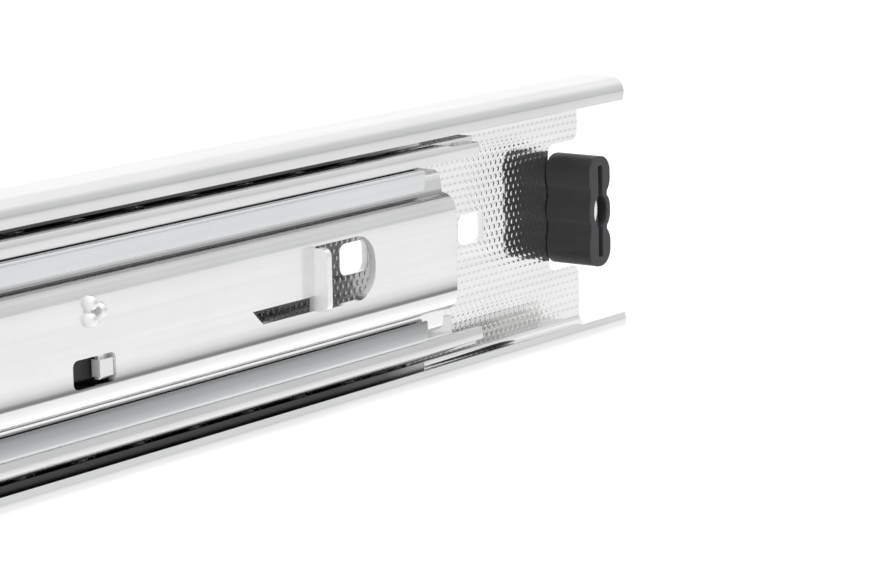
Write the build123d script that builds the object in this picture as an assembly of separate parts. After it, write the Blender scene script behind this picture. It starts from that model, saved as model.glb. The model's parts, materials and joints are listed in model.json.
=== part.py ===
from build123d import *
import math
import os

# Three-section ball-bearing drawer slide, left hand, drawn slightly open.
# Millimetres. X runs along the rails, with the rear end (the bumper end) at +X.
# Y points into the cabinet side, so the cabinet plane is Y = 0 and every rail lies at negative Y.
# Z is up. Positions along the rails are measured from the outer rail's rear end. The finished parts are
# then moved so that the origin is on the cabinet plane, at the middle of the outer rail's length and height.

# ---- driving dimensions ----
SLIDE_LENGTH = 300.0        # nominal length, which is the outer rail's length
SLIDE_HEIGHT = 45.5         # outer rail, over its flanges
SLIDE_THICKNESS = 12.7      # cabinet plane to drawer plane
SHEET = 1.2                 # rolled steel sheet of all three rails
RUNNING_GAP = 1.2           # between the outer web and the intermediate web

# Positions of the rear ends in the drawn pose
INTERMEDIATE_REAR = -41.0
INNER_REAR = -51.5
INTERMEDIATE_LENGTH = 278.0
INNER_LENGTH = 290.0

# Outer rail section
OUTER_LIP_DEPTH = 11.2      # cabinet plane to the front of the lips
OUTER_LIP_TIP = 18.9        # height of the lip's free edge above mid height
LIP_SLANT = 0.7             # how far each lip leans back towards its tip
BEND_RADIUS = 1.9           # all large bends, at mid sheet

# Balls
OUTER_BALL_RADIUS = 2.0
INNER_BALL_RADIUS = 1.5
BALL_PLAY = 0.025           # clearance of a ball to each raceway
BALL_PITCH = 12.6
OUTER_BALL_DEPTH = 5.9      # cabinet plane to the ball centres
INNER_BALL_DEPTH = 6.6

# Intermediate rail section
INTERMEDIATE_LIP_DEPTH = 10.2
INTERMEDIATE_LIP_TIP = 14.5
CRIMP_LENGTH = 12.0         # the lips' outer corners are pressed in over this length at the rear end
CRIMP = 0.85

# Inner rail section: a hat with a raised plateau, two brims and two raceway legs
SHOULDER_HALF = 9.15        # mid sheet, where the side of the plateau stands
BRIM_DEPTH = 10.0           # cabinet plane to the front face of a brim
LEG_DEPTH = 5.2             # cabinet plane to the free edge of a raceway leg
SHOULDER_RADIUS = 2.1       # along the edges of the plateau, at mid sheet
BRIM_BEND = 0.75            # where the side of the plateau meets a brim
LEG_BEND = 1.05             # from a brim to its raceway leg
RACE_EDGE = 0.2             # how far the raceway rises at its front edge
BRIM_SLANT = 0.45           # how far a brim leans back towards its outer edge

# Ball retainers
CAGE_SHEET = 0.5
CAGE_BEND = 0.45            # at mid sheet
POCKET_CLEARANCE = 0.1
OUTER_CAGE_REAR = -56.0
OUTER_CAGE_BALLS = 14
INNER_CAGE_REAR = -57.0
INNER_CAGE_BALLS = 15
CAGE_END_MARGIN = 2.6       # from the end of a retainer to the first ball centre

# Screw slots and holes
SYSTEM_PITCH = 32.0         # the hole pitch of cabinet sides
SLOT_LENGTH = 7.2
SLOT_WIDTH = 5.2
SLOT_CORNER = 1.4
SCREW_RADIUS = 2.3
CABINET_SCREWS = [-SYSTEM_PITCH * steps for steps in (3.5, 5.5, 7.5)]
CABINET_SLOTS = [-SYSTEM_PITCH * steps for steps in (1, 2, 4.5, 6.5, 8.5)]
DRAWER_SCREWS = (-207.5, -271.5, -335.5)

# Rear bumper and the bent tab that carries it
NOTCH_DEPTH = 9.0
NOTCH_HALF = 11.2
BUMPER_REAR = -3.45
BUMPER_LENGTH = 6.4
BUMPER_HALF = 9.65
BUMPER_FRONT_DEPTH = 10.4
TAB_CENTRE = -6.45
TAB_HALF = 7.9
TAB_DEPTH = 9.4

# Bayonet windows of the inner rail
WINDOW_REAR = -72.9
WINDOW_LENGTH = 15.3
WINDOW_TOP = 6.5
WINDOW_BOTTOM = -3.8
WINDOW_RADIUS = 4.6
HOOK_PROUD = 2.5
RELIEF_LENGTH = 15.0
RELIEF_TOP = -1.2
RELIEF_BOTTOM = -3.5
WINDOW_SPACING = 204.0

# Release lever
PIVOT_X = -138.4
PIVOT_Z = 5.0
PIVOT_RADIUS = 1.5
LEVER_THICKNESS = 1.8
LEVER_FRONT_DEPTH = 10.6
LEVER_LENGTH = 58.0
NOSE_X = -168.5
NOSE_LENGTH = 4.0

# Catch on the intermediate rail
CATCH_REAR = -300.5
CATCH_LENGTH = 10.0

# ---- derived dimensions ----
FLANGE_Z = SLIDE_HEIGHT / 2 - SHEET / 2
OUTER_RACE = SLIDE_HEIGHT / 2 - SHEET
INTERMEDIATE_WEB = SHEET + RUNNING_GAP + SHEET / 2
INTERMEDIATE_TOP = OUTER_RACE - 2 * (OUTER_BALL_RADIUS + BALL_PLAY)
INTERMEDIATE_FLANGE_Z = INTERMEDIATE_TOP - SHEET / 2
INNER_RACE = INTERMEDIATE_TOP - SHEET
LEG_TOP = INNER_RACE - 2 * (INNER_BALL_RADIUS + BALL_PLAY)
LEG_Z = LEG_TOP - SHEET / 2
PLATEAU_MID = SLIDE_THICKNESS - SHEET / 2
BRIM_MID = BRIM_DEPTH - SHEET / 2
OUTER_BALL_Z = OUTER_RACE - OUTER_BALL_RADIUS - BALL_PLAY
INNER_BALL_Z = INNER_RACE - INNER_BALL_RADIUS - BALL_PLAY


def block(x_range, depth_range, z_range):
    """A box given by its limits; depths are measured from the cabinet plane towards the drawer."""
    x0, x1 = sorted(x_range)
    y0, y1 = sorted(-depth for depth in depth_range)
    z0, z1 = sorted(z_range)
    box = Box(x1 - x0, y1 - y0, z1 - z0)
    return Pos((x0 + x1) / 2, (y0 + y1) / 2, (z0 + z1) / 2) * box


def bent_path(points, radii):
    """Draws straight runs joined by bends, one radius for each inner point."""
    start = Vector(*points[0])
    for before, corner, after, radius in zip(points, points[1:], points[2:], radii):
        apex = Vector(*corner)
        back = (Vector(*before) - apex).normalized()
        ahead = (Vector(*after) - apex).normalized()
        half_angle = math.radians(back.get_angle(ahead)) / 2
        reach = radius / math.tan(half_angle)
        middle = apex + (back + ahead).normalized() * (radius / math.sin(half_angle) - radius)
        Line(start, apex + back * reach)
        ThreePointArc(apex + back * reach, middle, apex + ahead * reach)
        start = apex + ahead * reach
    Line(start, Vector(*points[-1]))


def rolled(points, radii, sheet, rear, length):
    """A sheet section along X. Points are (depth, height) at mid sheet; one radius serves every bend."""
    if isinstance(radii, float):
        radii = [radii] * (len(points) - 2)
    with BuildSketch(Plane.YZ.offset(rear)) as section:
        with BuildLine():
            bent_path([(-depth, height) for depth, height in points], radii)
        trace(line_width=sheet)
    return extrude(section.sketch, amount=-length)


def mirrored(points):
    """Half a section, listed from its tip to mid height, completed below mid height."""
    return points + [(depth, -height) for depth, height in reversed(points)]


def punch(outline, x, z, depth_range):
    """A cutter along Y with an outline drawn in X and Z."""
    near, far = sorted(depth_range)
    plane = Plane(origin=(x, -near, z), x_dir=(1, 0, 0), z_dir=(0, -1, 0))
    return extrude(plane * outline, amount=far - near)


def drill(radius, x, z, depth_range):
    return punch(Circle(radius), x, z, depth_range)


def round_pin(radius, x, z, depth_range):
    return drill(radius, x, z, depth_range)


# ---- cabinet member ----

def bumper_tab():
    """The tongue at the rear of the outer web, bent forward into the bumper."""
    tongue = block((-NOTCH_DEPTH - 1, TAB_CENTRE + SHEET / 2), (0, SHEET), (-TAB_HALF, TAB_HALF))
    upright = block((TAB_CENTRE - SHEET / 2, TAB_CENTRE + SHEET / 2), (0, TAB_DEPTH), (-TAB_HALF, TAB_HALF))
    tab = tongue + upright
    outside_bend = tab.edges().filter_by(Axis.Z).sort_by(Axis.Y)[-1:]
    corner = [e for e in tab.edges().filter_by(Axis.Z) if e.center().Y > -0.01 and e.center().X > TAB_CENTRE]
    return fillet(corner or outside_bend, SHEET)


def outer_rail():
    """Cabinet member: a C section with rolled lips, screwed to the cabinet side."""
    slant = math.atan2(LIP_SLANT, FLANGE_Z - OUTER_LIP_TIP)
    # the bend cuts the slanted corner short, so the corner is set out by that much
    lost = BEND_RADIUS * (math.tan(math.pi / 4 + slant / 2) - 1)
    lip_corner = OUTER_LIP_DEPTH - SHEET / 2 + lost
    half = [
        (lip_corner - LIP_SLANT, OUTER_LIP_TIP),
        (lip_corner, FLANGE_Z),
        (SHEET / 2, FLANGE_Z),
    ]
    rail = rolled(mirrored(half), BEND_RADIUS, SHEET, 0, SLIDE_LENGTH)
    rail -= block((-NOTCH_DEPTH, 1), (-1, 3), (-NOTCH_HALF, NOTCH_HALF))
    ears = [
        e for e in rail.edges().filter_by(Axis.Y)
        if abs(abs(e.center().Z) - NOTCH_HALF) < 0.01 and e.length < SHEET * 1.1
    ]
    rail = fillet(ears, 1.8)
    slot = RectangleRounded(SLOT_LENGTH, SLOT_WIDTH, SLOT_CORNER)
    for x in CABINET_SLOTS:
        rail -= punch(slot, x, 0, (-1, 2))
    for x in CABINET_SCREWS:
        rail -= drill(SCREW_RADIUS, x, 0, (-1, 2))
    return rail + bumper_tab()


def bumper_outline():
    """Three rounded lobes joined by a narrower core."""
    lobe = RectangleRounded(BUMPER_LENGTH, 7.0, 2.9)
    outline = Pos(0, BUMPER_HALF - 3.5) * lobe + Pos(0, 3.5 - BUMPER_HALF) * lobe
    outline += RectangleRounded(BUMPER_LENGTH, 6.6, 2.8)
    core_front = -BUMPER_LENGTH / 2 + 0.45
    core_rear = BUMPER_LENGTH / 2 - 1.0
    core = Rectangle(core_rear - core_front, 2 * BUMPER_HALF - 6)
    outline += Pos((core_front + core_rear) / 2, 0) * core
    inner = [v for v in outline.vertices() if 1.5 < abs(v.Y) < 4.5]
    return fillet(inner, 0.5)


def rear_bumper():
    """Rubber buffer with three lobes, pushed over the bent tab."""
    centre = BUMPER_REAR - BUMPER_LENGTH / 2
    outline = bumper_outline()
    outline -= Pos(TAB_CENTRE - centre, 0) * Rectangle(SHEET + 0.1, 2 * TAB_HALF + 0.2)
    outline -= Pos(TAB_CENTRE - centre, 0) * Ellipse(1.9, 2.9)
    return punch(outline, centre, 0, (SHEET + 0.1, BUMPER_FRONT_DEPTH))


# ---- ball retainers ----

def ball_row(rear, count, radius, depth, height):
    first = rear - CAGE_END_MARGIN
    return Compound([Pos(first - i * BALL_PITCH, -depth, height) * Sphere(radius) for i in range(count)])


def retainer_length(count):
    return (count - 1) * BALL_PITCH + 2 * CAGE_END_MARGIN


def retainer(points, bend, rear, count, ball_radius, depth, height):
    """A thin strip along one raceway with a round pocket for each ball."""
    strip = rolled(points, bend, CAGE_SHEET, rear, retainer_length(count))
    pocket = ball_radius + POCKET_CLEARANCE
    for i in range(count):
        x = rear - CAGE_END_MARGIN - i * BALL_PITCH
        strip -= Pos(x, -depth, height) * Cylinder(pocket, 3.0)
    return strip


def outer_cage(side):
    points = [
        (1.85, side * 16.4),
        (1.85, side * OUTER_BALL_Z),
        (8.75, side * OUTER_BALL_Z),
        (8.75, side * 17.85),
    ]
    return retainer(
        points, CAGE_BEND, OUTER_CAGE_REAR, OUTER_CAGE_BALLS,
        OUTER_BALL_RADIUS, OUTER_BALL_DEPTH, side * OUTER_BALL_Z,
    )


def inner_cage(side):
    points = [
        (4.6, side * INNER_BALL_Z),
        (8.0, side * INNER_BALL_Z),
        (9.0, side * 13.97),
        (10.6, side * 13.97),
        (10.35, side * 10.7),
    ]
    return retainer(
        points, CAGE_BEND, INNER_CAGE_REAR, INNER_CAGE_BALLS,
        INNER_BALL_RADIUS, INNER_BALL_DEPTH, side * INNER_BALL_Z,
    )


# ---- intermediate member ----

CUTOUT_LENGTH = 68.0
CUTOUT_HALF = 13.2
ACCESS_HALF = 7.0
ACCESS_LENGTH = 30.0
ACCESS_CENTRES = (-161.0, -229.0)
CATCH_RIVETS_X = (CATCH_REAR - 3.0, CATCH_REAR - 9.0)
CATCH_RIVET_Z = 2.6
CATCH_RIVET_RADIUS = 1.2


def intermediate_rail():
    """Middle member: a C section that runs between the two rows of balls on each side."""
    half = [
        (INTERMEDIATE_LIP_DEPTH - SHEET / 2 - 0.4, INTERMEDIATE_LIP_TIP),
        (INTERMEDIATE_LIP_DEPTH - SHEET / 2, INTERMEDIATE_FLANGE_Z),
        (INTERMEDIATE_WEB, INTERMEDIATE_FLANGE_Z),
    ]
    # the lip is short, so its bend is tighter than the bends at the web
    rail = rolled(mirrored(half), 1.1, SHEET, INTERMEDIATE_REAR, INTERMEDIATE_LENGTH)
    web_depths = (INTERMEDIATE_WEB - 1.5, INTERMEDIATE_WEB + 1.5)
    cut_end = INTERMEDIATE_REAR - CUTOUT_LENGTH
    rail -= block((cut_end, INTERMEDIATE_REAR + 1), web_depths, (-CUTOUT_HALF, CUTOUT_HALF))
    corners = [
        e for e in rail.edges().filter_by(Axis.Y)
        if abs(e.center().X - cut_end) < 0.01 and abs(abs(e.center().Z) - CUTOUT_HALF) < 0.01
    ]
    rail = fillet(corners, 4.0)
    for x in ACCESS_CENTRES:
        rail -= punch(SlotOverall(ACCESS_LENGTH, 2 * ACCESS_HALF), x, 0, web_depths)
    for x in CATCH_RIVETS_X:
        rail -= drill(CATCH_RIVET_RADIUS + 0.05, x, CATCH_RIVET_Z, web_depths)
    for side in (-1, 1):
        rail -= crimp(side)
        rail += stop_dimple(side)
    return rail


def crimp(side):
    """Cutter for the pressed-in outer corner of a lip at the rail's rear end."""
    top = INTERMEDIATE_TOP
    start = INTERMEDIATE_REAR - CRIMP_LENGTH
    outline = Polyline(
        (start, side * (top + 0.3)), (start, side * (top + 0.02)), (start + 5.5, side * (top - CRIMP)),
        (INTERMEDIATE_REAR + 1, side * (top - CRIMP - 0.1)), (INTERMEDIATE_REAR + 1, side * (top + 0.3)),
        close=True,
    )
    return punch(make_face(outline), 0, 0, (8.5, INTERMEDIATE_LIP_DEPTH + 1))


def stop_dimple(side):
    """A dent pressed into a flange near its rear end, which keeps the inner retainer in the rail."""
    rear = INTERMEDIATE_REAR
    dent = Pos(rear - 5.0, -7.8, side * (INNER_RACE + 0.7)) * Sphere(1.2)
    return dent & block((rear - 8, rear), (5, 10), (side * 15, side * (INNER_RACE + 0.6)))


CATCH_BASE_DEPTH = INTERMEDIATE_WEB + SHEET / 2
CATCH_BASE = 1.0
CATCH_LUG_DEPTH = 6.6


def catch_block():
    """Stop plate at the front of the intermediate rail that the release lever hooks behind."""
    x_range = (CATCH_REAR - CATCH_LENGTH, CATCH_REAR)
    base_depths = (CATCH_BASE_DEPTH, CATCH_BASE_DEPTH + CATCH_BASE)
    base = block((CATCH_REAR - CATCH_LENGTH - 2, CATCH_REAR), base_depths, (-5.6, 5.2))
    lug = block(x_range, (CATCH_BASE_DEPTH, CATCH_LUG_DEPTH), (-5.6, -3.5))
    catch = fillet((base + lug).edges().filter_by(Axis.Y), 0.45)
    for x in CATCH_RIVETS_X:
        catch -= drill(CATCH_RIVET_RADIUS + 0.05, x, CATCH_RIVET_Z, (0, 8))
    return catch


def catch_rivets():
    rivets = []
    for x in CATCH_RIVETS_X:
        back = INTERMEDIATE_WEB - SHEET / 2
        front = CATCH_BASE_DEPTH + CATCH_BASE
        pin = round_pin(CATCH_RIVET_RADIUS, x, CATCH_RIVET_Z, (back - 0.5, front + 0.6))
        pin += round_pin(2.1, x, CATCH_RIVET_Z, (back - 0.5, back))
        pin += round_pin(2.1, x, CATCH_RIVET_Z, (front, front + 0.6))
        rivets.append(pin)
    return Compound(rivets)


# ---- drawer member ----

def bayonet_window(rear):
    """Cutter for a window with a straight front edge and a rounded rear edge, with its relief slot."""
    height = WINDOW_TOP - WINDOW_BOTTOM
    middle = (WINDOW_TOP + WINDOW_BOTTOM) / 2
    front = rear - WINDOW_LENGTH
    opening = block((front, rear), (11, 14), (WINDOW_BOTTOM, WINDOW_TOP))
    rounded = [
        e for e in opening.edges().filter_by(Axis.Y) if e.center().X > rear - 0.01
    ]
    opening = fillet(rounded, min(WINDOW_RADIUS, height / 2 - 0.1))
    front_corners = [
        e for e in opening.edges().filter_by(Axis.Y) if e.center().X < front + 0.01
    ]
    opening = fillet(front_corners, 0.8)
    relief = Polyline(
        (front + 0.5, RELIEF_TOP), (front - RELIEF_LENGTH, RELIEF_TOP),
        (front - RELIEF_LENGTH + 2.4, RELIEF_BOTTOM), (front + 0.5, RELIEF_BOTTOM),
        close=True,
    )
    return opening + punch(make_face(relief), 0, 0, (11, 14))


def bayonet_hook(rear):
    """The tongue of the window, bent out towards the drawer."""
    front = rear - WINDOW_LENGTH
    height = WINDOW_TOP - WINDOW_BOTTOM - 0.4
    tongue = block(
        (front, front + SHEET),
        (SLIDE_THICKNESS - SHEET, SLIDE_THICKNESS + HOOK_PROUD),
        (WINDOW_BOTTOM + 0.2, WINDOW_BOTTOM + 0.2 + height),
    )
    tips = [
        e for e in tongue.edges().filter_by(Axis.X) if e.center().Y < -SLIDE_THICKNESS - HOOK_PROUD + 0.01
    ]
    return fillet(tips, 1.2)


def inner_rail():
    """Drawer member: a hat section whose plateau is fixed to the drawer side."""
    half = [
        (LEG_DEPTH, LEG_Z),
        (7.3, LEG_Z),
        (BRIM_MID - BRIM_SLANT, LEG_Z + RACE_EDGE),
        (BRIM_MID, SHOULDER_HALF),
        (PLATEAU_MID, SHOULDER_HALF - 0.25),
    ]
    bends = [LEG_BEND, LEG_BEND, BRIM_BEND, SHOULDER_RADIUS]
    rail = rolled(mirrored(half), bends + bends[::-1], SHEET, INNER_REAR, INNER_LENGTH)
    for rear in (WINDOW_REAR, WINDOW_REAR - WINDOW_SPACING):
        rail -= bayonet_window(rear)
        rail += bayonet_hook(rear)
    plateau = (11, 14)
    for x in DRAWER_SCREWS:
        rail -= drill(SCREW_RADIUS, x, 0, plateau)
    rail -= drill(PIVOT_RADIUS + 0.05, PIVOT_X, PIVOT_Z, plateau)
    rail -= punch(RectangleRounded(9.0, 4.3, 1.0), PIVOT_X, -3.8, plateau)
    return rail


LOBE_REACH = 1.35
LOBE_RADIUS = 1.25


def lever_rivet():
    """Pivot of the release lever: a round head behind, and three staked lobes on the plateau."""
    lever_back = LEVER_FRONT_DEPTH - LEVER_THICKNESS
    pin = round_pin(PIVOT_RADIUS, PIVOT_X, PIVOT_Z, (lever_back - 0.9, SLIDE_THICKNESS + 0.5))
    pin += round_pin(2.2, PIVOT_X, PIVOT_Z, (lever_back - 0.9, lever_back - 0.45))
    front = block(
        (PIVOT_X - 4, PIVOT_X + 4), (SLIDE_THICKNESS, SLIDE_THICKNESS + 3), (PIVOT_Z - 4, PIVOT_Z + 4)
    )
    for angle in (115, 235, 355):
        across = PIVOT_X + LOBE_REACH * math.cos(math.radians(angle))
        height = PIVOT_Z + LOBE_REACH * math.sin(math.radians(angle))
        pin += Pos(across, -SLIDE_THICKNESS - 0.15, height) * Sphere(LOBE_RADIUS) & front
    return pin - drill(0.75, PIVOT_X, PIVOT_Z, (SLIDE_THICKNESS + 0.05, SLIDE_THICKNESS + 3))


def latch_plate():
    """Steel plate riveted behind the plateau, with a lug that stands in the lever window."""
    depths = (LEVER_FRONT_DEPTH + 0.15, SLIDE_THICKNESS - SHEET)
    plate = block((PIVOT_X - 8.0, PIVOT_X + 6.4), depths, (-5.6, 6.9))
    plate -= block((PIVOT_X - 4.6, PIVOT_X + 2.0), (9, 13), (-5.7, -1.3))
    plate += block((PIVOT_X + 1.4, PIVOT_X + 4.3), (depths[0], SLIDE_THICKNESS - 0.3), (-5.1, -2.5))
    return plate - drill(PIVOT_RADIUS + 0.05, PIVOT_X, PIVOT_Z, (9, 14))


def lever_washer():
    lever_back = LEVER_FRONT_DEPTH - LEVER_THICKNESS
    ring = Circle(3.0) - Circle(PIVOT_RADIUS + 0.05)
    return punch(ring, PIVOT_X, PIVOT_Z, (lever_back - 0.45, lever_back - 0.05))


def release_lever():
    """Moulded lever behind the plateau: pivot eye, catch nose and finger pad."""
    front = LEVER_FRONT_DEPTH
    back = front - LEVER_THICKNESS
    tip = PIVOT_X - LEVER_LENGTH
    eye_half = 1.9
    with BuildSketch() as plan:
        with BuildLine():
            Polyline(
                (PIVOT_X + 6.0, -5.4), (PIVOT_X + 6.0, -1.6), (PIVOT_X + 3.0, PIVOT_Z + eye_half),
                (PIVOT_X - 3.0, PIVOT_Z + eye_half), (PIVOT_X - 8.0, -1.6), (tip, -1.6), (tip, -5.4),
                close=True,
            )
        make_face()
        fillet(plan.vertices(), 1.2)
    lever = punch(plan.sketch, 0, 0, (back, front))
    lever += block((NOSE_X, NOSE_X + NOSE_LENGTH), (5.0, back + 0.5), (-5.3, -2.6))
    pad = block((tip, tip + 8.0), (7.1, back + 0.5), (-5.4, -1.6))
    ribs = [block((tip + 1.4 + 2.0 * i, tip + 2.2 + 2.0 * i), (6.9, 7.6), (-5.4, -1.6)) for i in range(3)]
    for rib in ribs:
        pad -= rib
    lever += pad
    return lever - drill(PIVOT_RADIUS + 0.06, PIVOT_X, PIVOT_Z, (0, 14))


def lever_spring():
    """Return spring: a thin strip held on the lever's upper edge, bowed towards the upper shoulder."""
    start = PIVOT_X - 12.0
    end = PIVOT_X - 34.0
    depth = LEVER_FRONT_DEPTH - LEVER_THICKNESS / 2
    with BuildSketch() as strip:
        with BuildLine():
            ThreePointArc((start, -1.35), ((start + end) / 2 - 3, 1.2), (end, 3.0))
        trace(line_width=0.3)
    foot = Pos(start + 1.0, -1.45) * Rectangle(2.4, 0.3)
    return punch(strip.sketch + foot, 0, 0, (depth - 0.8, depth + 0.8))


PARTS = {
    "outer_rail": outer_rail,
    "rear_bumper": rear_bumper,
    "outer_cage_upper": lambda: outer_cage(1),
    "outer_cage_lower": lambda: outer_cage(-1),
    "outer_balls_upper": lambda: ball_row(
        OUTER_CAGE_REAR, OUTER_CAGE_BALLS, OUTER_BALL_RADIUS, OUTER_BALL_DEPTH, OUTER_BALL_Z),
    "outer_balls_lower": lambda: ball_row(
        OUTER_CAGE_REAR, OUTER_CAGE_BALLS, OUTER_BALL_RADIUS, OUTER_BALL_DEPTH, -OUTER_BALL_Z),
    "intermediate_rail": intermediate_rail,
    "catch_block": catch_block,
    "catch_rivets": catch_rivets,
    "inner_cage_upper": lambda: inner_cage(1),
    "inner_cage_lower": lambda: inner_cage(-1),
    "inner_balls_upper": lambda: ball_row(
        INNER_CAGE_REAR, INNER_CAGE_BALLS, INNER_BALL_RADIUS, INNER_BALL_DEPTH, INNER_BALL_Z),
    "inner_balls_lower": lambda: ball_row(
        INNER_CAGE_REAR, INNER_CAGE_BALLS, INNER_BALL_RADIUS, INNER_BALL_DEPTH, -INNER_BALL_Z),
    "inner_rail": inner_rail,
    "lever_rivet": lever_rivet,
    "latch_plate": latch_plate,
    "lever_washer": lever_washer,
    "release_lever": release_lever,
    "lever_spring": lever_spring,
}


def main():
    os.makedirs("parts", exist_ok=True)
    for name, build in PARTS.items():
        export_step(Pos(SLIDE_LENGTH / 2, 0, 0) * build(), f"parts/{name}.step")
        print("wrote", name)


main()
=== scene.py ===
import json
import math

import bpy
from mathutils import Matrix, Vector


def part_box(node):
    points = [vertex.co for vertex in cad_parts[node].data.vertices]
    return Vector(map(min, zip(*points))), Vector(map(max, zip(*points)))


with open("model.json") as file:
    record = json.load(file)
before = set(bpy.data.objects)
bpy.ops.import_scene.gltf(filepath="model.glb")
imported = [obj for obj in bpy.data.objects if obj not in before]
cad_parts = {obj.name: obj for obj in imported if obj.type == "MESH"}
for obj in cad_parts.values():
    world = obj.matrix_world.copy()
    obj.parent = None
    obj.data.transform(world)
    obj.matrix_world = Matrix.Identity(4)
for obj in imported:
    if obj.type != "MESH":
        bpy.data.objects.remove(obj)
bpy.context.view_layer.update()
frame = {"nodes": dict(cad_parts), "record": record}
nodes = frame["nodes"]
scene = bpy.context.scene

MM = 0.001
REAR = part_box("outer_rail")[1].x        # the outer rail's rear end

# ---- camera ----
# It stands on the drawer side, towards the rails' front end and a little above, and looks at their rear end.
LENS = 139.8                            # mm
SENSOR_WIDTH = 36.0                     # mm
AZIMUTH = -52.88                        # degrees
ELEVATION = 10.75
ROLL = -1.21
DISTANCE = 557.3 * MM
AIM = Vector((REAR - 48.7 * MM, -6.0 * MM, -7.4 * MM))


def add_camera():
    data = bpy.data.cameras.new("camera")
    data.lens = LENS
    data.sensor_width = SENSOR_WIDTH
    data.clip_start = 0.01
    data.clip_end = 20.0
    camera = bpy.data.objects.new("camera", data)
    scene.collection.objects.link(camera)
    azimuth, elevation, roll = map(math.radians, (AZIMUTH, ELEVATION, ROLL))
    flat = math.cos(elevation)
    ahead = Vector((-math.sin(azimuth) * flat, math.cos(azimuth) * flat, -math.sin(elevation)))
    level = Vector((math.cos(azimuth), math.sin(azimuth), 0))
    upright = level.cross(ahead)
    right = math.cos(roll) * level + math.sin(roll) * upright
    up = math.cos(roll) * upright - math.sin(roll) * level
    turn = Matrix((right, up, -ahead)).transposed().to_4x4()
    camera.matrix_world = Matrix.Translation(AIM - ahead * DISTANCE) @ turn
    scene.camera = camera


add_camera()


# ---- shader nodes ----

def feed(socket, value):
    """Links a node's output to the socket, or sets the socket to a plain value."""
    if isinstance(value, bpy.types.NodeSocket):
        socket.id_data.links.new(value, socket)
    else:
        socket.default_value = value


def node_maker(tree):
    """A function that adds a node to the tree, fills its inputs and returns its first output."""

    def add(kind, inputs=None, **settings):
        node = tree.nodes.new("ShaderNode" + kind)
        for key, value in settings.items():
            setattr(node, key, value)
        for key, value in (inputs or {}).items():
            feed(node.inputs[key], value)
        return node.outputs[0]

    return add


def new_material(name):
    """A material, its shader's inputs, and the function that adds nodes to it."""
    material = bpy.data.materials.new(name)
    material.use_nodes = True
    tree = material.node_tree
    return material, tree.nodes["Principled BSDF"].inputs, node_maker(tree)


def rgba(tone, share=1.0):
    """A colour for a socket: the tone, or a share of it."""
    return (*[channel * share for channel in tone], 1)


def grey(tone):
    return (tone, tone, tone, 1)


def mix(add, amount, first, second, **settings):
    """The first colour where amount is 0, and the second where it is 1."""
    return add("MixRGB", {"Fac": amount, "Color1": first, "Color2": second}, **settings)


def ramp(add, value, low, high, to_low, to_high, **settings):
    """Maps value from low..high to to_low..to_high, held at both ends."""
    limits = {"From Min": low, "From Max": high, "To Min": to_low, "To Max": to_high}
    return add("MapRange", {"Value": value, **limits}, **settings)


def maths(add, operation, *values):
    return add("Math", dict(enumerate(values)), operation=operation)


def position(add):
    """The X, Y and Z of a point, in metres in the part's frame."""
    place = add("TexCoord").node.outputs["Object"]
    return add("SeparateXYZ", {"Vector": place}).node.outputs


def facing(add):
    """The X, Y and Z of the direction that the surface faces, without any bump."""
    normal = add("NewGeometry").node.outputs["True Normal"]
    return add("SeparateXYZ", {"Vector": normal}).node.outputs


def noise(add, cells, detail, roughness=0.5):
    """Noise from 0 to 1 with so many cells a metre along X, Y and Z."""
    place = add("TexCoord").node.outputs["Object"]
    scaled = add("Mapping", {"Vector": place, "Scale": cells})
    return add("TexNoise", {"Vector": scaled, "Scale": 1.0, "Detail": detail, "Roughness": roughness})


# ---- embossing of the outer rail's web ----
# Round raised dots in staggered rows along the rail, on the flat of the web.
DOT_PITCH = 1.415 * MM
DOT_ROW = 1.225 * MM
DOT_STRETCH = 1.15          # a pitch is this much longer than a row
DOT_TOP = 0.14              # radius of a dot's flat top and of its foot, in rows
DOT_FOOT = 0.44
DOT_HEIGHT = 0.034 * MM
WEB_EDGE = (20.2 * MM, 19.6 * MM)       # from mid height, up and down: the dots fade in between these
WEB_FRONT = (-1.5 * MM, -1.4 * MM)      # the web is thinner than this, so the dots stay off the lips


def embossing(add, x, y, z):
    """Height of the dots, from 0 to 1."""
    row = maths(add, "DIVIDE", z, DOT_ROW)
    odd = maths(add, "MODULO", maths(add, "ABSOLUTE", maths(add, "FLOOR", row)), 2.0)
    along = maths(add, "ADD", maths(add, "DIVIDE", x, DOT_PITCH), maths(add, "MULTIPLY", odd, 0.5))
    across_x = maths(add, "SUBTRACT", maths(add, "FRACT", along), 0.5)
    across_z = maths(add, "SUBTRACT", maths(add, "FRACT", row), 0.5)
    far_x = maths(add, "POWER", maths(add, "MULTIPLY", across_x, DOT_STRETCH), 2.0)
    far_z = maths(add, "POWER", across_z, 2.0)
    far = maths(add, "SQRT", maths(add, "ADD", far_x, far_z))
    dot = ramp(add, far, DOT_TOP, DOT_FOOT, 1, 0, interpolation_type="SMOOTHSTEP")
    on_flat = ramp(add, maths(add, "ABSOLUTE", z), *WEB_EDGE, 0, 1)
    on_web = ramp(add, y, *WEB_FRONT, 0, 1)
    return maths(add, "MULTIPLY", dot, maths(add, "MULTIPLY", on_flat, on_web))


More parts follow.
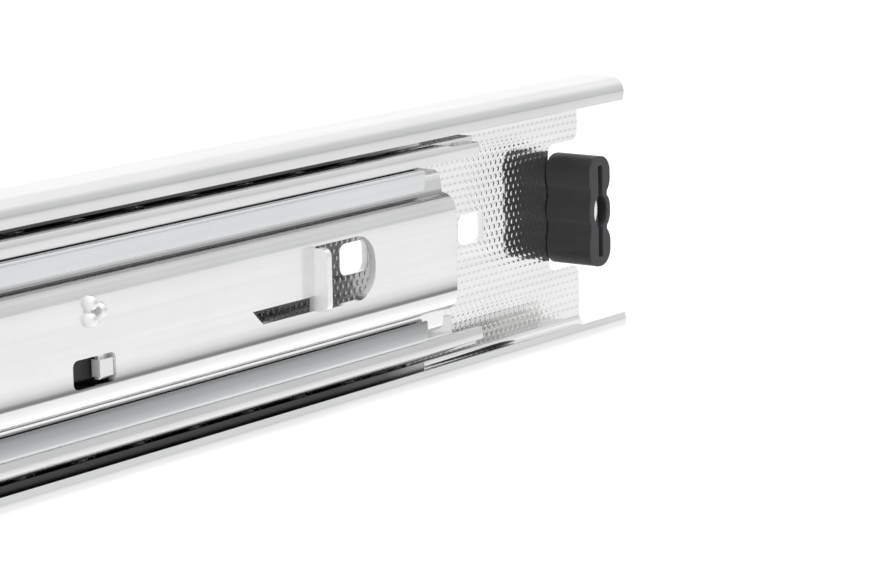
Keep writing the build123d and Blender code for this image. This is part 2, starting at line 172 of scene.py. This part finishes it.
# ---- painted shade ----
# Painted shade and painted reflections: the tones darken bends, edges, gaps and places that mirror darker
# surroundings. Each pair is a place in mm and a tone, where 1 leaves the metal as it is. Across a rail the
# place is the height above mid height.
# Painted reflection on the outer rail's lips: darker where the real lips mirror grey surroundings.
LIP_SHADE_BANDS = ((-21.0, 0.92), (-19.5, 1.0), (18.2, 1.0), (18.8, 0.80), (21.2, 0.80), (22.2, 0.90))
# Painted shade on the inner rail: a dark line low on the plateau, and the upper shoulder bend darkening up to
# the gap under the cage.
PLATEAU_SHADE_BANDS = (
    (-10.0, 1.0), (-6.45, 1.0), (-6.2, 0.24), (-5.85, 0.28), (-5.4, 0.62), (-4.6, 0.86), (-3.4, 1.0),
    (5.6, 1.0), (6.8, 0.94), (7.8, 0.84), (8.6, 0.70), (9.1, 0.58), (9.5, 0.50), (10.0, 0.50), (10.4, 0.9),
)
# Painted shade on the lower cage's front lip, darker upwards towards its edge by the inner rail.
LOWER_CAGE_SHADE_BANDS = ((-14.0, 1.0), (-13.2, 0.85), (-12.2, 0.65), (-11.3, 0.54), (-10.9, 0.40), (0.0, 1.0))
# Along a rail the place is measured from the outer rail's rear end and is negative towards the front.
# Painted shade on the outer rail's web, darker where it mirrors the dark insides of the other rails.
WEB_SHADE_RUN = ((-110.0, 0.72), (-62.0, 0.50), (-44.0, 1.0))
# Painted shade on the outer cages in the gap, darker towards the front from their rear end.
OUTER_CAGE_SHADE_RUN = ((-80.0, 0.16), (-66.0, 0.30), (-57.0, 1.0))

WEB_SIDE = (-3 * MM, -2 * MM)           # Y between which the web's run ends towards the lips
TOWARDS_DRAWER = (-0.3, -0.6)           # limits for the Y of the direction that a surface faces
TOWARDS_CABINET = (0.3, 0.7)
# Painted shade, darkening the sides of the rails that face the cabinet.
SHADED = (0.02, 0.02, 0.015)            # mixed into the sides that face the cabinet


def banded(add, shade, place, start, bands):
    """The shade darkened by bands, which are measured along place from start."""
    low, high = bands[0][0], bands[-1][0]
    fraction = ramp(add, place, start + low * MM, start + high * MM, 0, 1)
    node = add("ValToRGB", {"Fac": fraction}).node
    elements = node.color_ramp.elements
    for distance, _ in bands[1:-1]:
        elements.new((distance - low) / (high - low))
    for element, (_, tone) in zip(elements, bands):
        element.color = grey(tone)
    return mix(add, 1.0, shade, node.outputs[0], blend_type="MULTIPLY")


def painted_web_shade(add, shade, x, y, face_y):
    """The colour darkened by painted shade along the run, on the web's drawer side only."""
    on_web = ramp(add, y, *WEB_SIDE, 0, 1)
    towards_drawer = ramp(add, face_y, *TOWARDS_DRAWER, 0, 1)
    inside = maths(add, "MULTIPLY", on_web, towards_drawer)
    return mix(add, inside, shade, banded(add, shade, x, REAR, WEB_SHADE_RUN))


# ---- materials ----
# Each noise has so many cells a metre along X, Y and Z. Lines and streaks are drawn out along the rail.
LINES = (9, 1400, 1400)
STREAKS = (14, 260, 260)
CLOUDS = (60, 90, 90)
MOTTLE = (500, 500, 500)

NOISE_SPREAD = (0.30, 0.70)             # most of a noise's values lie between these
CLOUD_SPREAD = (0.35, 0.65)
LINE_SPREAD = (0.42, 0.68)              # off the middle, so that the lines are narrower than their gaps

# Tones of a dark cloud, a streak and a rolling line, as shares of the metal's own, and how strongly the
# streaks and lines are drawn.
CLOUD_SHARE = 0.94
STREAK_SHARE = 0.89
LINE_SHARE = 0.86
STREAK_AMOUNT = 0.5
LINE_AMOUNT = 0.4

CLOUD_GLOSS = 0.04          # how far the roughness strays with the clouds, and with the mottle
MOTTLE_GLOSS = 0.02
SHEARED_FACING = (0.25, 0.6)            # limits for the X of a sheared end's direction
SHEARED_ROUGHNESS = 0.3     # added on sheared ends, which are matt and scatter more light than plated faces
SHEARED_METAL_LOSS = 0.85
RELIEF_STRENGTH = 0.12      # of the bump that lines and streaks give
RELIEF_DEPTH = 0.02 * MM
STREAK_RELIEF = 2.0         # a streak is so much deeper than a line
SHEET_EDGE = 0.12 * MM      # radius that softens the edges in the shading


def metal(name, tone, roughness, grain=1.0, bands=None, run=None, back_shade=1.0, embossed=False):
    """Plated or polished steel: fine lines along the rail, clouds and uneven gloss.

    bands and run give painted shade across and along the rail, and the sides that face the cabinet get
    painted shade of the tone that back gives.
    """
    material, shader, add = new_material(name)
    lines = noise(add, LINES, 4.0, roughness=0.6)
    streaks = noise(add, STREAKS, 3.0)
    clouds = noise(add, CLOUDS, 3.0)
    mottle = noise(add, MOTTLE, 2.0)
    x, y, z = position(add)
    face_x, face_y, _ = facing(add)

    shade = mix(add, ramp(add, clouds, *CLOUD_SPREAD, 0, 1), rgba(tone, CLOUD_SHARE), rgba(tone))
    in_streak = ramp(add, streaks, *NOISE_SPREAD, 0, STREAK_AMOUNT * grain)
    shade = mix(add, in_streak, shade, rgba(tone, STREAK_SHARE))
    in_line = ramp(add, lines, *LINE_SPREAD, 0, LINE_AMOUNT * grain)
    shade = mix(add, in_line, shade, rgba(tone, LINE_SHARE))
    # Painted shade and painted reflections across the rail, then along it.
    if bands:
        shade = banded(add, shade, z, 0, bands)
    if run:
        shade = banded(add, shade, x, REAR, run)
    if embossed:
        # painted shade on the web's drawer side
        shade = painted_web_shade(add, shade, x, y, face_y)
    # painted shade on the sides that face the cabinet
    if back_shade < 1:
        shade = mix(add, ramp(add, face_y, *TOWARDS_CABINET, 0, 1 - back_shade), shade, rgba(SHADED))
    feed(shader["Base Color"], shade)

    uneven = maths(
        add, "ADD",
        ramp(add, clouds, *NOISE_SPREAD, -CLOUD_GLOSS, CLOUD_GLOSS),
        ramp(add, mottle, *NOISE_SPREAD, -MOTTLE_GLOSS, MOTTLE_GLOSS),
    )
    sheared = ramp(add, maths(add, "ABSOLUTE", face_x), *SHEARED_FACING, 0, 1)
    plated = maths(add, "ADD", uneven, roughness)
    feed(shader["Roughness"], maths(add, "MULTIPLY_ADD", sheared, SHEARED_ROUGHNESS, plated))
    feed(shader["Metallic"], maths(add, "MULTIPLY_ADD", sheared, -SHEARED_METAL_LOSS, 1.0))

    relief = maths(add, "ADD", lines, maths(add, "MULTIPLY", streaks, STREAK_RELIEF))
    normal = add("Bevel", {"Radius": SHEET_EDGE}, samples=4)
    strength = RELIEF_STRENGTH * grain
    normal = add("Bump", {"Height": relief, "Normal": normal, "Strength": strength, "Distance": RELIEF_DEPTH})
    if embossed:
        dots = embossing(add, x, y, z)
        normal = add("Bump", {"Height": dots, "Normal": normal, "Strength": 1.0, "Distance": DOT_HEIGHT})
    feed(shader["Normal"], normal)
    return material


MOULD_GRAIN = (2500, 2500, 2500)
MOULD_CLOUDS = (120, 120, 120)
MOULD_SHARE = 0.8           # tone of a dark cloud, as a share of the material's own
MOULD_GLOSS = 0.06
MOULD_STRENGTH = 0.25
MOULD_DEPTH = 0.03 * MM
MOULD_EDGE = 0.5 * MM


def moulded(name, tone, roughness):
    """Moulded rubber or plastic with a fine even texture."""
    material, shader, add = new_material(name)
    fine = noise(add, MOULD_GRAIN, 3.0)
    clouds = noise(add, MOULD_CLOUDS, 2.0)
    feed(shader["Base Color"], mix(add, clouds, rgba(tone, MOULD_SHARE), rgba(tone)))
    uneven = ramp(add, fine, *NOISE_SPREAD, roughness - MOULD_GLOSS, roughness + MOULD_GLOSS)
    feed(shader["Roughness"], uneven)
    normal = add("Bevel", {"Radius": MOULD_EDGE}, samples=4)
    normal = add("Bump", {
        "Height": fine, "Normal": normal, "Strength": MOULD_STRENGTH, "Distance": MOULD_DEPTH})
    feed(shader["Normal"], normal)
    return material


def paint(node, material):
    """Gives a CAD node's mesh one material."""
    mesh = nodes[node].data
    mesh.materials.clear()
    mesh.materials.append(material)


# Tones are linear colours, and the number after each is the roughness.
BRIGHT = (0.925, 0.925, 0.92)
rivet_zinc = metal("rivet_zinc", (0.85, 0.85, 0.85), 0.18)

RAIL_FINISHES = {
    "outer_rail": metal("web_zinc", BRIGHT, 0.08, grain=1.4, bands=LIP_SHADE_BANDS, back_shade=0.7, embossed=True),
    "intermediate_rail": metal("middle_zinc", (0.79, 0.79, 0.785), 0.22, back_shade=0.5),
    "inner_rail": metal("plateau_zinc", BRIGHT, 0.20, bands=PLATEAU_SHADE_BANDS, back_shade=0.45),
}
SLOT_FINISHES = {
    "cage_steel": metal("cage_zinc", (0.75, 0.76, 0.77), 0.26, bands=LOWER_CAGE_SHADE_BANDS),
    "cage_black": metal("cage_black", (0.50, 0.50, 0.49), 0.40, run=OUTER_CAGE_SHADE_RUN),
    "ball_steel": metal("ball_chrome", (0.85, 0.85, 0.86), 0.10, grain=0.2),
    "rivet_steel": rivet_zinc,
    "catch_steel": rivet_zinc,
    "spring_steel": metal("spring_steel", (0.5, 0.5, 0.5), 0.3),
    "rubber_black": moulded("black_rubber", (0.025, 0.025, 0.028), 0.48),
    "lever_plastic": moulded("black_plastic", (0.012, 0.012, 0.012), 0.4),
}
for part in frame["record"]["subparts"]:
    name = part["node"]
    paint(name, RAIL_FINISHES[name] if name in RAIL_FINISHES else SLOT_FINISHES[part["material_slot"]])


# ---- studio ----
# The sky on the drawer side, by height above the horizon, as (sine of the angle, tone, strength).
SKY = (
    (0.00, (0.97, 0.98, 1.00), 0.72),
    (0.12, (0.98, 0.99, 1.00), 0.82),
    (0.45, (0.99, 1.00, 1.00), 0.90),
    (0.70, (1.00, 1.00, 1.00), 1.20),
    (1.00, (1.00, 1.00, 1.00), 1.40),
)
SKY_STRENGTH = 2.0          # over which the strengths are given, so that no stop's colour is above 1
CABINET_SKY = 1.08          # strength of the plain sky on the cabinet side
CABINET_SKY_START = (-0.42, -0.10)      # limits for the Y of a direction, between which it takes over

# Metres, as everywhere in the scene
FLOOR_HALF = 30.0
FLOOR_HEIGHT = -0.30
BEHIND_SLIDE = (-0.35, 0.10)            # Y between which the floor turns white
FAR_IN_FRONT = (-1.4, -2.2)             # Y between which it turns darker, which the rails mirror
FLOOR_TONE = 0.84
FLOOR_BEHIND_TONE = 0.97
FLOOR_FAR_TONE = 0.2
FLOOR_FAR_SHARE = 0.3                   # of the far tone in the floor's
FLOOR_GLOW = 0.12                       # emission of the white part
FLOOR_ROUGHNESS = 0.9

TOP_LIGHT = Vector((-0.1, -0.3, 1.2))
TOP_LIGHT_AIM = Vector((0.05, 0, 0))
TOP_LIGHT_SIZE = 1.0
TOP_LIGHT_POWER = 6                     # watts


def add_sky():
    world = bpy.data.worlds.new("studio")
    scene.world = world
    world.use_nodes = True
    add = node_maker(world.node_tree)
    direction = add("TexCoord").node.outputs["Generated"]
    _, y, z = add("SeparateXYZ", {"Vector": direction}).node.outputs
    by_height = add("ValToRGB", {"Fac": z})
    elements = by_height.node.color_ramp.elements
    elements.remove(elements[1])
    for number, (sine, tone, strength) in enumerate(SKY):
        stop = elements.new(sine) if number else elements[0]
        stop.color = rgba(tone, strength / SKY_STRENGTH)
    behind = ramp(add, y, *CABINET_SKY_START, 0, 1)
    background = world.node_tree.nodes["Background"].inputs
    feed(background["Color"], mix(add, behind, by_height, grey(CABINET_SKY / SKY_STRENGTH)))
    feed(background["Strength"], SKY_STRENGTH)


def floor_material():
    material, shader, add = new_material("floor")
    y = position(add)["Y"]
    behind = ramp(add, y, *BEHIND_SLIDE, 0, 1)
    distant = ramp(add, y, *FAR_IN_FRONT, 0, FLOOR_FAR_SHARE)
    front = mix(add, distant, grey(FLOOR_TONE), grey(FLOOR_FAR_TONE))
    feed(shader["Base Color"], mix(add, behind, front, grey(FLOOR_BEHIND_TONE)))
    feed(shader["Emission Color"], grey(1))
    feed(shader["Emission Strength"], maths(add, "MULTIPLY", behind, FLOOR_GLOW))
    feed(shader["Roughness"], FLOOR_ROUGHNESS)
    return material


def add_floor():
    mesh = bpy.data.meshes.new("floor")
    signs = ((-1, -1), (1, -1), (1, 1), (-1, 1))
    corners = [(FLOOR_HALF * side_x, FLOOR_HALF * side_y, FLOOR_HEIGHT) for side_x, side_y in signs]
    mesh.from_pydata(corners, [], [(0, 1, 2, 3)])
    mesh.materials.append(floor_material())
    floor = bpy.data.objects.new("floor", mesh)
    scene.collection.objects.link(floor)


def add_top_light():
    data = bpy.data.lights.new("top", "AREA")
    data.shape = "SQUARE"
    data.size = TOP_LIGHT_SIZE
    data.energy = TOP_LIGHT_POWER
    light = bpy.data.objects.new("top", data)
    light.location = TOP_LIGHT
    light.rotation_mode = "QUATERNION"
    light.rotation_quaternion = (TOP_LIGHT_AIM - TOP_LIGHT).to_track_quat("-Z", "Y")
    scene.collection.objects.link(light)


add_sky()
add_floor()
add_top_light()
scene.view_settings.view_transform = "Standard"
